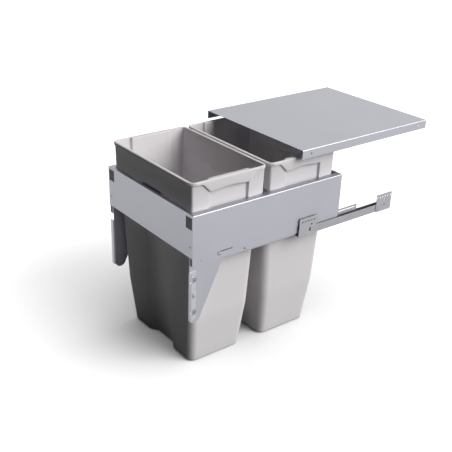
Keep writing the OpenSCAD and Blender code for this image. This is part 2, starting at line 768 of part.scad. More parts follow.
// Bins: each is lofted between rounded rectangles [half width, half length, radius, height]
outer_levels = [
    [bin_half_w, bin_half_l, rim_r, rim_top - sliver],
    [bin_half_w, bin_half_l, rim_r, rim_top - lip_h]];
collar_levels = [
    [bin_half_w - lip_out, bin_half_l - collar_set_y, collar_r, rim_top - lip_h],
    [bin_half_w - lip_out - collar_draft_x, bin_half_l - collar_set_y - collar_draft_y,
        collar_r, shoulder_z]];
break_half_w = body_half_w - upper_taper_x;
break_half_l = body_half_l - upper_taper_y;
foot_half_w = break_half_w - lower_taper_x;
foot_half_l = break_half_l - lower_taper_y;
body_levels = [
    [body_half_w, body_half_l, body_r, shoulder_z],
    [break_half_w, break_half_l, (body_r + foot_r) / 2, break_z],
    [foot_half_w, foot_half_l, foot_r, bin_foot + foot_round],
    [foot_half_w - foot_draw, foot_half_l - foot_draw, foot_r - foot_draw, bin_foot]];

// The same levels on the inside of a wall
function inside(levels, lift) =
    [for (l = levels) [l[0] - bin_wall, l[1] - bin_wall, l[2] - bin_wall, l[3] + lift]];

module slice(level)
    for (x = [-1, 1], y = [-1, 1])
        translate([x * (level[0] - level[2]), y * (level[1] - level[2]), level[3]])
            cylinder(r = level[2], h = sliver, $fn = hull_fn);

module loft(levels)
    for (i = [0 : len(levels) - 2]) hull() {
        slice(levels[i]);
        slice(levels[i + 1]);
    }

// Groove down a long face: [height, half length of the face there, depth]
groove_levels = [
    [shoulder_z + groove_rise, bin_half_l - collar_set_y - collar_draft_y, groove_top_depth],
    [shoulder_z, body_half_l, groove_top_depth],
    [break_z, break_half_l, (groove_top_depth + groove_foot_depth) / 2],
    [bin_foot - overrun, foot_half_l, groove_foot_depth]];

module groove_slice(level, grown) {
    floor_y = level[1] - level[2] - grown;
    outer_y = bin_half_l + overrun;
    spread = (groove_half_w - groove_floor_half_w) / groove_foot_depth;
    wide = groove_floor_half_w + grown + spread * (outer_y - floor_y);
    translate([0, 0, level[0]]) linear_extrude(sliver)
        polygon([[-groove_floor_half_w - grown, floor_y], [groove_floor_half_w + grown, floor_y],
            [wide, outer_y], [-wide, outer_y]]);
}

// The groove starts under the collar's fade and runs down to the foot
module grooves(grown)
    for (s = [0, 1]) mirror([0, s, 0]) {
        hull() {
            groove_slice([shoulder_z + groove_rise + groove_fade,
                bin_half_l - collar_set_y, -grown - overrun], grown);
            groove_slice(groove_levels[0], grown);
        }
        hull() {
            groove_slice(groove_levels[0], grown);
            groove_slice([shoulder_z - seat_gap - grown, groove_levels[0][1],
                groove_levels[0][2]], grown);
        }
        for (i = [1, 2]) hull() {
            groove_slice(groove_levels[i], grown);
            groove_slice(groove_levels[i + 1], grown);
        }
    }

// Hand recess in an end of the bin, seen along Y
module recess(grown, top) {
    x0 = bin_half_w - recess_depth - grown;
    x1 = bin_half_w + overrun;
    foot_z = frame_top - recess_drop;
    for (s = [0, 1]) mirror([s, 0, 0])
        translate([0, recess_half_l + grown, 0]) rotate([90, 0, 0])
            linear_extrude(2 * (recess_half_l + grown))
                polygon([[x0, top], [x1, top], [x1, foot_z - recess_toe - grown],
                    [x0, foot_z - grown]]);
}

// Apron that hangs from the rim in front of the recess, as the handle
module aprons() {
    foot = apron_half_l - apron_slope;
    knee = foot + apron_knee_w;
    steps = 12;
    edge = concat(
        [[-apron_half_l, -lip_h], [-knee, apron_knee_h - apron_h]],
        [for (i = [0 : steps]) [foot * (2 * i / steps - 1),
            apron_arch * sin(180 * i / steps) - apron_h]],
        [[knee, apron_knee_h - apron_h], [apron_half_l, -lip_h]]);
    for (s = [0, 1]) mirror([s, 0, 0])
        translate([bin_half_w - apron_t, 0, rim_top]) rotate([90, 0, 90])
            linear_extrude(apron_t)
                polygon(concat([[-apron_half_l, -lip_h / 2]], edge,
                    [[apron_half_l, -lip_h / 2]]));
}

module bin(y) color(bin_grey) translate([0, y, 0]) {
    difference() {
        union() {
            loft(outer_levels);
            loft(collar_levels);
            loft(body_levels);
        }
        difference() {
            union() {
                loft([for (l = inside(collar_levels, 0))
                    [l[0], l[1], l[2], l[3] == shoulder_z ? shoulder_z + bin_wall : rim_top + overrun]]);
                loft(inside(body_levels, bin_wall));
            }
            grooves(bin_wall);
            recess(bin_wall, rim_top + overrun);
        }
        grooves(0);
        recess(0, rim_top - grip_t);
    }
    aprons();
}

module bin_front() bin(bin_front_y);
module bin_rear() bin(bin_rear_y);

lid_plate();
cabinet_rail(true);  // cabinet_rail_left
cabinet_rail(false);  // cabinet_rail_right
front_plate(true);  // front_plate_left
front_plate(false);  // front_plate_right
rear_plate(true);  // rear_plate_left
rear_plate(false);  // rear_plate_right
plate_rivets();
middle_rail(true);  // middle_rail_left
middle_rail(false);  // middle_rail_right
upper_cage(true);  // upper_cage_left
upper_cage(false);  // upper_cage_right
balls(upper_cage_y0, upper_cage_y1, upper_ball_z);  // upper_balls
lower_cage(true);  // lower_cage_left
lower_cage(false);  // lower_cage_right
balls(lower_cage_y0, lower_cage_y1, lower_ball_z);  // lower_balls
frame_front();
frame_rear();
frame_side(true);  // frame_side_left
frame_side(false);  // frame_side_right
cross_bar();
ledge(true);  // ledge_left
ledge(false);  // ledge_right
corner_angles();
drawer_rail(true);  // drawer_rail_left
drawer_rail(false);  // drawer_rail_right
rail_rivets();
rail_cap(true);  // rail_cap_left
rail_cap(false);  // rail_cap_right
gusset(true);  // gusset_left
gusset(false);  // gusset_right
gusset_rivets();
door_bracket(true);  // door_bracket_left
door_bracket(false);  // door_bracket_right
adjuster(true, 1);  // adjuster_upper_left
adjuster(true, -1);  // adjuster_lower_left
adjuster(false, 1);  // adjuster_upper_right
adjuster(false, -1);  // adjuster_lower_right
clamp_screws();
bin_front();
bin_rear();
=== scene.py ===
"""Pull-out waste bin unit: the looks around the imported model.

Metres. X runs from the left cabinet wall to the right one, Y from the lid's front edge
into the cabinet, Z up from the fixing plates' hole rows.
"""
import json
import math

import bmesh
import bpy
from bpy.props import FloatProperty, FloatVectorProperty, IntProperty, PointerProperty
from mathutils import Matrix, Vector


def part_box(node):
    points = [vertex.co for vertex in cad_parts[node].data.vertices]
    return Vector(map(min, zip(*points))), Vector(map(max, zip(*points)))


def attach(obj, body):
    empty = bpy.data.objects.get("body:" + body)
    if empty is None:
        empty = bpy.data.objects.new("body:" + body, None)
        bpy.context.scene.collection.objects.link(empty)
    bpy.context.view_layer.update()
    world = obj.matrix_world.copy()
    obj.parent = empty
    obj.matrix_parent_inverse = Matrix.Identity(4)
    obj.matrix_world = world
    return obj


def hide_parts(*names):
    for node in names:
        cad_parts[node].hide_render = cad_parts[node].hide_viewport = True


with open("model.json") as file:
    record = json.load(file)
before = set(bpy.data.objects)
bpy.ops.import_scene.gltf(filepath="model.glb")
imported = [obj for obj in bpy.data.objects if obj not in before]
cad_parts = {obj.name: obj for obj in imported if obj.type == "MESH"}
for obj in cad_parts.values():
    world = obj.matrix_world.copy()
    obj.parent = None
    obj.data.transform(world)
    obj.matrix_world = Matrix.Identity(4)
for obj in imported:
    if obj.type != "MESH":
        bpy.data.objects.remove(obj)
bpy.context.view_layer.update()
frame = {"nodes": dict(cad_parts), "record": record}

bl_info = {
    "name": "Pull-out waste bin unit",
    "version": (1, 0, 0),
    "blender": (4, 5, 0),
    "location": "View3D > Sidebar > Waste bins",
    "description": "Moulded bins, fasteners, finishes and studio for a pull-out waste bin unit",
    "category": "Add Mesh",
}

MM = 0.001
TINY = 0.01 * MM
NO_STEP = TINY / 100
DOUBLES = 2 * TINY
BIN_BOX = {"front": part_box("bin_front"), "rear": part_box("bin_rear")}


def size(name, what, mm):
    """A length that a user can change, given here in millimetres."""
    return FloatProperty(name=name, description=what, default=mm * MM, min=0.0,
                         unit="LENGTH", precision=4)


def colour(name, what, rgb):
    return FloatVectorProperty(name=name, description=what, default=rgb, min=0.0, max=1.0,
                               subtype="COLOR", size=3)


def share(name, what, value, top=1.0):
    return FloatProperty(name=name, description=what, default=value, min=0.0, max=top,
                         subtype="FACTOR")


def amount(name, what, value, least=0.0):
    return FloatProperty(name=name, description=what, default=value, min=least)


def degrees(name, what, value):
    """An angle that a user can change, given here in degrees."""
    return FloatProperty(name=name, description=what, default=math.radians(value),
                         subtype="ANGLE")


def direction(name, what, value):
    return FloatVectorProperty(name=name, description=what, default=value,
                               subtype="DIRECTION")


# Sizes and colours

class BinSizes(bpy.types.PropertyGroup):
    """Sizes of the moulded bins."""
    wall: size("Wall", "Thickness of the moulded wall", 3)
    lip_h: size("Lip height", "Height of the lip round the rim", 8)
    lip_out: size("Lip overhang", "How far the lip stands out from the collar", 3.8)
    rim_r: size("Rim corners", "Radius of the rim's corners", 21)
    under_lip_r: size("Corners under the lip", "Radius of the corners under the lip", 17)
    rim_round: size("Rim rounding", "Rounding of the rim's outer edge", 2.6)
    collar_r: size("Collar corners", "Radius of the collar's corners", 4)
    collar_r_rise: size("Collar corners' rise", "How much wider they are at the lip", 2)
    crown: size("Crown", "How far the collar's ends bulge between their corners", 1.6)
    collar_set: size("Collar set-back", "Set-back of the long faces under the lip", 6.2)
    collar_draft_x: size("Collar draft, ends", "Draft of the ends, lip to shoulder", 3)
    collar_draft_y: size("Collar draft, sides", "Draft of the long faces, lip to shoulder", 4.3)
    shoulder_z: size("Shoulder", "Height of the shoulder over the plates' hole rows", 4.5)
    body_half_w: size("Body half width", "Half the body's width at the shoulder", 169)
    body_set: size("Body set-back", "Set-back of the body's long faces at the shoulder", 11.4)
    body_r: size("Body corners", "Radius of the body's corners at the shoulder", 23.5)
    upper_taper_x: size("Upper taper, ends", "Taper of the ends down to the break line", 8)
    upper_taper_y: size("Upper taper, sides", "Taper of the sides down to the break line", 10.5)
    lower_taper_x: size("Lower taper, ends", "Taper of the ends below the break line", 16.5)
    lower_taper_y: size("Lower taper, sides", "Taper of the sides below the break line", 11.5)
    break_h: size("Break line", "Height of the break line over the foot", 141)
    break_r: size("Break corners", "Radius of the body's corners at the break line", 22.5)
    foot_r: size("Foot corners", "Radius of the body's corners at the foot", 21.5)
    foot_round: size("Foot rounding", "Rounding between walls and base", 7.5)
    groove_floor: size("Groove floor", "Half the width of the groove's floor", 38)
    groove_face: size("Groove width", "Half the width of the groove at its deepest", 66)
    groove_foot: size("Groove depth, foot", "Depth of the groove at the foot", 17)
    groove_top: size("Groove depth, top", "Depth of the groove at the shoulder", 3)
    groove_rise: size("Groove rise", "Height of the groove over the shoulder", 104)
    groove_fade: size("Groove fade", "Length over which the groove fades out", 6)
    recess_half_l: size("Recess half length", "Half the length of the hand recess", 59)
    recess_depth: size("Recess depth", "Depth of the hand recess behind the rim", 11)
    recess_z: size("Recess foot", "Height of the hand recess's foot", 48)
    recess_toe: size("Recess toe", "Height of the slope at the recess's foot", 12)
    grip: size("Grip", "Thickness of the rim over the hand recess", 3.5)
    apron_t: size("Apron thickness", "Thickness of the apron under the rim", 2.5)
    apron_h: size("Apron height", "Height of the apron below the rim", 31)
    apron_half_l: size("Apron half length", "Half the apron's length at the lip", 88)
    apron_knee: size("Apron knee", "Half the length of the apron's lower edge", 58)
    apron_arch: size("Apron arch", "Rise of the apron's lower edge in its middle", 4)
    edge_r: size("Edges", "Rounding of the moulded edges", 1.2)
    corner_steps: IntProperty(name="Corner steps", description="Flats in a rounded corner",
                              default=8, min=4, max=16)


class FastenerSizes(bpy.types.PropertyGroup):
    """Sizes of the eccentric adjusters and the clamp screws."""
    throw: size("Adjuster throw", "How far a disc stands off its shank's axis", 1)
    shank_r: size("Adjuster shank", "Radius of the adjusters' shanks", 3)
    disc_r: size("Disc", "Radius of the adjusters' discs", 9)
    disc_t: size("Disc thickness", "Thickness of the adjusters' discs", 2.5)
    disc_chamfer: size("Disc chamfer", "Chamfer round the adjusters' discs", 0.6)
    ring_r: size("Ring", "Outer radius of the ring turned into a disc's face", 7.2)
    ring_w: size("Ring width", "Width of the ring turned into a disc's face", 1.6)
    ring_h: size("Ring depth", "Depth of the ring turned into a disc's face", 0.9)
    socket_r: size("Socket", "Radius over the corners of the hex sockets", 2.6)
    socket_h: size("Socket depth", "Depth of the hex sockets", 2)
    screw_shank_r: size("Screw shank", "Radius of the clamp screws' shanks", 2.2)
    screw_head_r: size("Screw head", "Radius of the clamp screws' heads", 4.5)
    screw_edge: size("Screw edge", "Rounding under the clamp screws' heads", 0.325)
    screw_head_h: size("Screw head height", "Height of the clamp screws' heads", 2.6)
    cross_l: size("Cross", "Half the length of the cross recess", 2.7)
    cross_w: size("Cross arm", "Half the width of the cross recess's arms", 0.7)
    cross_h: size("Cross depth", "Depth of the cross recess", 1.8)
    flats: IntProperty(name="Flats", description="Flats round a turned fastener",
                       default=36, min=12, max=72)


class Finishes(bpy.types.PropertyGroup):
    """Colours of the finishes, and how high the bins are scuffed."""
    lid_coat: colour("Lid", "Powder coat of the lid", (0.41, 0.415, 0.45))
    frame_coat: colour("Frame", "Powder coat of the frame", (0.40, 0.40, 0.44))
    zinc: colour("Zinc", "Zinc plating of the runners", (0.36, 0.36, 0.38))
    plate: colour("Plates", "Plating of the fixing plates", (0.37, 0.37, 0.395))
    # Painted light: a paler copy of the plates' zinc, for the brighter light on the door brackets
    bracket: colour("Brackets", "Plating of the door brackets", (0.49, 0.49, 0.52))
    # Painted shade: darker than the plates and brackets, for the shade in the adjusters' rings
    # and sockets
    shaded_fastener: colour("Fasteners", "Plating of rivets and screws", (0.33, 0.33, 0.345))
    bin_grey: colour("Bins", "Moulded plastic of the bins", (0.70, 0.675, 0.69))
    scuff_h: size("Scuffs", "Height of the scuffs over the bins' feet", 63.5)
    # Painted shade: the corner angles are near black, so that the front panel's windows show dark
    angle: colour("Corner angles", "Dark passivation of the corner angles", (0.085, 0.085, 0.09))
    plug: colour("Plugs", "Plastic of the rails' plugs", (0.40, 0.40, 0.42))


class Studio(bpy.types.PropertyGroup):
    """Light, floor and camera."""
    azimuth: degrees("Camera azimuth", "Turn of the camera from the front", 52.35)
    elevation: degrees("Camera elevation", "Camera's angle over the floor", 26.48)
    roll: degrees("Camera roll", "Roll of the camera", 1.65)
    distance: size("Camera distance", "Distance from the aim", 2218.54)
    lens: amount("Lens", "Focal length on a 36 mm sensor, in millimetres", 62.03, 10)
    shift_x: amount("Shift right", "Shift in widths of the picture", 0.0195, -1)
    shift_y: amount("Shift up", "Shift in widths of the picture", 0.031, -1)
    aim: FloatVectorProperty(name="Aim", description="Point that the camera looks at",
                             default=(0.0, -0.111, -0.10114), subtype="XYZ", unit="LENGTH")
    key: amount("Key light", "Strength of the soft light at the right", 3.1)
    key_from: direction("Key side", "Where the key light comes from", (0.80, 0.40, 0.52))
    key_spread: degrees("Key spread", "How wide the key light is", 50)
    top: amount("Top light", "Strength of the soft light above", 1.1)
    top_from: direction("Top side", "Where the top light comes from", (0.2, 0.6, 1.0))
    top_spread: degrees("Top spread", "How wide the top light is", 60)
    ambient: share("Ambient", "Even light from all sides", 0.02)
    bounce: share("Bounce", "How much light the floor throws back", 0.10)
    floor_pale: share("Floor shade", "How much of the lamps' own shadows shows", 0.75)
    floor_glow: share("Floor glow", "How bright the open floor is", 0.75, 2.0)
    floor_dull: share("Floor dullness", "How much duller reflections see the floor", 0.3)
    shadow_depth: amount("Shadow depth", "How dark the soft shadow is", 1.75)
    shadow_reach: size("Shadow reach", "How far the soft shadow reaches", 1500)
    floor_gap: size("Floor gap", "Room between the bins and the floor", 0.5)


# Modelling by hand

def start_piece(name, add, turned=(0, 0, 0), **how):
    """Adds a primitive at its size and place and starts to edit it."""
    bpy.ops.object.select_all(action="DESELECT")
    add(**how)
    piece = bpy.context.object
    piece.name = piece.data.name = name
    piece.rotation_euler = turned
    bpy.ops.object.transform_apply(location=True, rotation=True, scale=True)
    bpy.ops.object.mode_set(mode="EDIT")
    bpy.ops.mesh.select_all(action="DESELECT")
    return piece


def pick(piece, kind, test):
    """Selects the vertices, edges or faces that pass a test, and nothing else."""
    bpy.ops.mesh.select_mode(type=kind)
    bpy.ops.mesh.select_all(action="DESELECT")
    work = bmesh.from_edit_mesh(piece.data)
    parts = {"VERT": work.verts, "EDGE": work.edges, "FACE": work.faces}[kind]
    for part in parts:
        if test(part):
            part.select_set(True)
    bmesh.update_edit_mesh(piece.data)


def hold(piece, points):
    """Selects vertices by their numbers."""
    bpy.ops.mesh.select_all(action="DESELECT")
    work = bmesh.from_edit_mesh(piece.data)
    work.verts.ensure_lookup_table()
    for i in points:
        work.verts[i].select_set(True)
    return work


def cut_across(place, normal):
    """Cuts the piece that is being edited along a plane."""
    bpy.ops.mesh.select_all(action="SELECT")
    bpy.ops.mesh.bisect(plane_co=place, plane_no=normal)


def close_piece():
    """Merges doubles and turns the faces outwards."""
    bpy.ops.mesh.select_mode(type="VERT")
    bpy.ops.mesh.select_all(action="SELECT")
    bpy.ops.mesh.remove_doubles(threshold=DOUBLES)
    bpy.ops.mesh.normals_make_consistent(inside=False)
    bpy.ops.mesh.select_all(action="DESELECT")


def leave_editing(piece):
    """Ends edit mode with just this piece selected."""
    bpy.ops.object.mode_set(mode="OBJECT")
    bpy.ops.object.select_all(action="DESELECT")
    piece.select_set(True)
    bpy.context.view_layer.objects.active = piece


def shade_smooth(piece, angle=math.radians(32)):
    """Shades a piece smooth, with hard edges from the given angle."""
    leave_editing(piece)
    bpy.ops.object.shade_smooth_by_angle(angle=angle)


def apply_modifier(piece, kind, **settings):
    """Adds a modifier, sets it and applies it."""
    leave_editing(piece)
    modifier = piece.modifiers.new(kind.title(), kind)
    for name, value in settings.items():
        setattr(modifier, name, value)
    bpy.ops.object.modifier_apply(modifier=modifier.name)


def copy_piece(piece, name, shift):
    """Copies a piece with its own mesh and moves the copy's mesh."""
    twin = piece.copy()
    twin.data = piece.data.copy()
    twin.name = twin.data.name = name
    bpy.context.scene.collection.objects.link(twin)
    twin.data.transform(Matrix.Translation(shift))
    return twin


# The bins

class Ring:
    """One level of a bin's wall: a rounded rectangle with its groove, recess and apron."""

    def __init__(self, z, half_w, half_l, radius, groove=0.0, crown=0.0):
        self.z, self.half_w, self.half_l, self.radius = z, half_w, half_l, radius
        self.groove, self.crown, self.stretch = groove, crown, 1.0
        self.end_x = self.end_z = None


# Where a ring's points stand: the columns of half an end face, in millimetres from its
# middle, and the steps on a groove's slopes
END_COLUMNS = (0, 12, 24, 36, 44, 52, 59, 61, 64, 68, 72, 76, 80, 84, 88, 92, 95.5)
GROOVE_SHARES = (0.0, 0.17, 0.34, 0.5, 0.66, 0.83, 1.0)
LEAST_SLOPE = 8 * MM
COLUMN_MARGIN = 24 * MM
CORNER_ROOM = 2 * MM
LONG_FACE_SHARE = 0.6
CROWN_FLAT, CROWN_END = 70 * MM, 110 * MM
LEAST_BODY_R, LEAST_COLLAR_R = 4 * MM, 2 * MM

# Heights of the rings between the wall's features: on the body over its break line, and on
# the collar over the shoulder, round the groove's end and over the recess's foot
BODY_LEVELS = tuple(mm * MM for mm in (-100, -60, -14, -5, 5, 14, 60, 120, 170, 215))
FADE_SHARES = (-0.75, 0.0, 1 / 3, 2 / 3, 1.0)
LOW_LEVEL, HIGH_LEVEL = 80 * MM, 140 * MM
SHOULDER_STEP, INNER_SHOULDER_STEP = 12 * MM, 14 * MM
RECESS_STEP, INNER_RECESS_STEP = 4 * MM, 6 * MM
RIM_STEP = 1.5 * MM

# Rounded edges, and the slit between collar and apron, whose edges stay sharp
ROUND_STEPS, EDGE_STEPS = 4, 3
SHARP = math.radians(35)
RIM_SLACK = 0.3 * MM
SLIT_BACK, SLIT_FRONT, SLIT_DEPTH = 3.6 * MM, 2.4 * MM, 40 * MM


def smooth_share(t):
    t = min(max(t, 0.0), 1.0)
    return t * t * (3 - 2 * t)


def mix(a, b, t):
    return a + (b - a) * t


class BinMaker:
    """Draws a bin's wall up from its foot, over the rim and down inside."""

    def __init__(self, sizes, box):
        self.s = sizes
        low, high = box
        self.half_w = (high.x - low.x) / 2
        self.half_l = (high.y - low.y) / 2
        self.middle = (low.y + high.y) / 2
        self.rim, self.foot = high.z, low.z
        self.straight = self.half_l - COLUMN_MARGIN
        self.slope = (sizes.groove_face - sizes.groove_floor) / sizes.groove_foot

    # Points of a ring
    def column_spread(self, ring):
        """How far the end columns of a ring are drawn together."""
        room = ring.half_l - ring.radius - CORNER_ROOM
        return min(1.0, room / self.straight) * ring.stretch

    def end_point(self, ring, column, side, along):
        y = along * column * MM * self.column_spread(ring)
        x = ring.end_x(column) if ring.end_x else self.crowned(ring, column)
        z = ring.end_z(column) if ring.end_z else ring.z
        return Vector((side * x, y, z))

    def crowned(self, ring, column):
        """The end faces of the collar bulge a little between their corners."""
        t = max(0.0, (column * MM - CROWN_FLAT) / (CROWN_END - CROWN_FLAT))
        return ring.half_w + ring.crown * (1 - t * t)

    def groove_x(self, ring, part):
        width = max(self.slope * ring.groove, LEAST_SLOPE)
        return self.s.groove_floor + part * width

    def side_point(self, ring, part, side, along):
        y = ring.half_l - ring.groove * (1 - smooth_share(part))
        return Vector((along * self.groove_x(ring, part), side * y, ring.z))

    # Levels of the wall
    def groove_depth(self, z):
        s = self.s
        break_z = self.foot + s.break_h
        middle = (s.groove_top + s.groove_foot) / 2
        top = s.shoulder_z + s.groove_rise
        if z >= s.shoulder_z:
            # the floor stands upright while the collar leans out over it
            lean = (min(z, top) - s.shoulder_z) / (self.rim - s.lip_h - s.shoulder_z)
            deep = s.groove_top + s.collar_draft_y * lean
            return deep * (1 - smooth_share((z - top) / s.groove_fade))
        if z >= break_z:
            return mix(s.groove_top, middle, (s.shoulder_z - z) / (s.shoulder_z - break_z))
        return mix(middle, s.groove_foot, (break_z - z) / s.break_h)

    def body(self, z, inset=0.0, deeper=0.0):
        """The body at a height, set in by the wall when it is drawn inside."""
        s = self.s
        break_z = self.foot + s.break_h
        low_z = self.foot + s.foot_round
        w0, l0 = s.body_half_w, self.half_l - s.body_set
        w1, l1 = w0 - s.upper_taper_x, l0 - s.upper_taper_y
        w2, l2 = w1 - s.lower_taper_x, l1 - s.lower_taper_y
        if z >= break_z:
            t = (s.shoulder_z - z) / (s.shoulder_z - break_z)
            w, l, r = mix(w0, w1, t), mix(l0, l1, t), mix(s.body_r, s.break_r, t)
        else:
            t = (break_z - z) / (break_z - low_z)
            w, l, r = mix(w1, w2, t), mix(l1, l2, t), mix(s.break_r, s.foot_r, t)
        inwards = inset + deeper
        return Ring(z, w - inwards, l - inwards, max(r - inwards, LEAST_BODY_R),
                    self.groove_depth(z))

    def collar(self, z, inset=0.0):
        s = self.s
        t = (z - s.shoulder_z) / (self.rim - s.lip_h - s.shoulder_z)
        w = self.half_w - s.lip_out - s.collar_draft_x * (1 - t) - s.crown
        l = self.half_l - s.collar_set - s.collar_draft_y * (1 - t)
        r = s.collar_r + s.collar_r_rise * t
        return Ring(z, w - inset, l - inset, max(r - inset, LEAST_COLLAR_R),
                    self.groove_depth(z), s.crown)

    def collar_levels(self, first):
        """Heights of the collar's rings, which stand close together where the groove ends."""
        top = self.s.shoulder_z + self.s.groove_rise
        ending = [top + self.s.groove_fade * share for share in FADE_SHARES]
        return [first, LOW_LEVEL, *ending, HIGH_LEVEL]

    def apron_edge(self, column):
        """Height of the apron's lower edge, or of the lip's where there is no apron."""
        s = self.s
        y, low = column * MM, self.rim - s.apron_h
        if y >= s.apron_knee:
            t = (s.apron_half_l - y) / (s.apron_half_l - s.apron_knee)
            return mix(self.rim - s.lip_h, low, smooth_share(t))
        return low + s.apron_arch * (1 + math.cos(math.pi * y / s.apron_knee)) / 2

    def in_recess(self, column):
        return column * MM <= self.s.recess_half_l + TINY

    def recessed(self, ring, floor_x):
        """A ring whose recess columns stand on the recess's floor."""
        ring.end_x = lambda c: floor_x if self.in_recess(c) else self.crowned(ring, c)
        return ring

    def outer_rings(self):
        s = self.s
        rings = []
        for i in range(ROUND_STEPS + 1):
            a = math.pi / 2 * i / ROUND_STEPS
            ring = self.body(self.foot + s.foot_round, 0, s.foot_round * (1 - math.sin(a)))
            ring.z = self.foot + s.foot_round * (1 - math.cos(a))
            rings.append(ring)
        break_z = self.foot + s.break_h
        for rise in BODY_LEVELS:
            rings.append(self.body(break_z + rise))
        rings.append(self.body(s.shoulder_z))
        rings.append(self.collar(s.shoulder_z))
        floor_x = self.half_w - s.recess_depth
        rings.append(self.collar(s.shoulder_z + SHOULDER_STEP))
        rings.append(self.collar(s.recess_z - s.recess_toe))
        rings.append(self.recessed(self.collar(s.recess_z), floor_x))
        for z in self.collar_levels(s.recess_z + RECESS_STEP):
            rings.append(self.recessed(self.collar(z), floor_x))
        lip = self.rim - s.lip_h
        grip = self.rim - s.grip
        under = self.recessed(self.collar(lip), floor_x)
        under.end_z = lambda c: grip if self.in_recess(c) else lip
        rings.append(under)
        # under the lip, down the apron's inner face, out and up to the rim
        wide, behind = self.half_w - s.lip_out / 2, self.half_w - s.apron_t
        for hang in (False, True):
            ring = Ring(lip, wide, self.half_l - s.collar_set / 2, s.under_lip_r)
            ring.end_x = lambda c: behind if c * MM < s.apron_half_l - TINY else wide
            if hang:
                ring.end_z = self.apron_edge
            else:
                ring.end_z = lambda c: grip if self.in_recess(c) else lip
            rings.append(ring)
        edge = Ring(lip, self.half_w, self.half_l, s.rim_r)
        edge.end_z = self.apron_edge
        rings.append(edge)
        rings.append(Ring(lip + RIM_STEP, self.half_w, self.half_l, s.rim_r))
        rings.append(Ring(self.rim, self.half_w, self.half_l, s.rim_r))
        return rings

    def inner_rings(self):
        s = self.s
        rings = []
        floor_x = self.half_w - s.recess_depth - s.wall
        lip = self.rim - s.lip_h
        stretch = (s.recess_half_l + s.wall) / s.recess_half_l

        def inside(ring, recess=True):
            ring.stretch = stretch
            return self.recessed(ring, floor_x) if recess else ring

        top = inside(self.collar(lip, s.wall))
        top.z = self.rim
        rings.append(top)
        levels = [*self.collar_levels(s.recess_z + INNER_RECESS_STEP), lip]
        for z in reversed(levels):
            rings.append(inside(self.collar(z, s.wall)))
        rings.append(inside(self.collar(s.recess_z - s.wall, s.wall)))
        for z in (s.recess_z - s.recess_toe - s.wall, s.shoulder_z + INNER_SHOULDER_STEP):
            rings.append(inside(self.collar(z, s.wall), False))
        for make in (self.collar, self.body):
            ring = make(s.shoulder_z, s.wall)
            ring.z = s.shoulder_z + s.wall
            rings.append(ring)
        break_z = self.foot + s.break_h
        for rise in reversed(BODY_LEVELS):
            rings.append(self.body(break_z + rise, s.wall))
        r = s.foot_round - s.wall
        for i in range(ROUND_STEPS + 1):
            a = math.pi / 2 * (1 - i / ROUND_STEPS)
            ring = self.body(self.foot + s.foot_round, s.wall, r * (1 - math.sin(a)))
            ring.z = self.foot + s.wall + r * (1 - math.cos(a))
            rings.append(ring)
        return rings

    # Drawing
    def start(self, name, ring):
        """The base: a plane with rounded corners, cut where the columns stand."""
        s = self.s
        piece = start_piece(name, bpy.ops.mesh.primitive_plane_add, size=1,
                            location=(0, 0, ring.z))
        bpy.ops.mesh.select_all(action="SELECT")
        bpy.ops.transform.resize(value=(2 * ring.half_w, 2 * ring.half_l, 1),
                                 center_override=(0, 0, ring.z))
        bpy.ops.mesh.select_mode(type="VERT")
        bpy.ops.mesh.bevel(offset=ring.radius, segments=s.corner_steps, affect="VERTICES")
        for column in END_COLUMNS:
            for along in (1, -1) if column else (1,):
                y = self.end_point(ring, column, 1, along).y
                cut_across((0, y, 0), (0, 1, 0))
        for part in GROOVE_SHARES:
            for along in (1, -1):
                cut_across((along * self.groove_x(ring, part), 0, 0), (1, 0, 0))
        return piece

    def sort_points(self, piece, points, ring):
        """Sorts a ring's points into corners, end columns and side columns."""
        work = bmesh.from_edit_mesh(piece.data)
        work.verts.ensure_lookup_table()
        y_edge = ring.half_l - ring.radius
        corners, ends, sides = {}, [], []
        spread = self.column_spread(ring)
        for i in points:
            x, y, _ = work.verts[i].co
            if abs(x) < LONG_FACE_SHARE * ring.half_w:
                part = min(GROOVE_SHARES, key=lambda p: abs(self.groove_x(ring, p) - abs(x)))
                sides.append((i, part, 1 if y > 0 else -1, 1 if x > 0 else -1))
            elif abs(y) >= y_edge - TINY:
                corners.setdefault((x > 0, y > 0), []).append(i)
            else:
                column = min(END_COLUMNS, key=lambda c: abs(c * MM * spread - abs(y)))
                ends.append((i, column, 1 if x > 0 else -1, 1 if y > 0 else -1))
        return corners, ends, sides

    def move_to(self, piece, i, place):
        work = hold(piece, [i])
        here = work.verts[i].co.copy()
        step = place - here
        if step.length > NO_STEP:
            bpy.ops.transform.translate(value=step)

    def set_ring(self, piece, points, old, new):
        """Brings the newest ring from the last ring's shape to its own."""
        corners, ends, sides = self.sort_points(piece, points, old)
        for (right, back), members in corners.items():
            sx, sy = (1 if right else -1), (1 if back else -1)
            a = Vector((sx * (old.half_w - old.radius), sy * (old.half_l - old.radius), new.z))
            b = Vector((sx * (new.half_w - new.radius), sy * (new.half_l - new.radius), new.z))
            hold(piece, members)
            grow = new.radius / old.radius
            bpy.ops.transform.resize(value=(grow, grow, 1), center_override=a)
            bpy.ops.transform.translate(value=b - a)
        for i, column, side, along in ends:
            self.move_to(piece, i, self.end_point(new, column, side, along))
        for i, part, side, along in sides:
            self.move_to(piece, i, self.side_point(new, part, side, along))

    def draw(self, name):
        outer, inner = self.outer_rings(), self.inner_rings()
        old = outer[0]
        piece = self.start(name, old)
        pick(piece, "EDGE", lambda e: e.is_boundary)
        work = bmesh.from_edit_mesh(piece.data)
        points = [v.index for v in work.verts if v.select]
        bpy.ops.mesh.select_mode(type="VERT")
        flat = Ring(old.z, old.half_w, old.half_l, old.radius)
        self.set_ring(piece, points, flat, old)
        for new in outer[1:] + inner:
            pick(piece, "EDGE", lambda e: e.is_boundary)
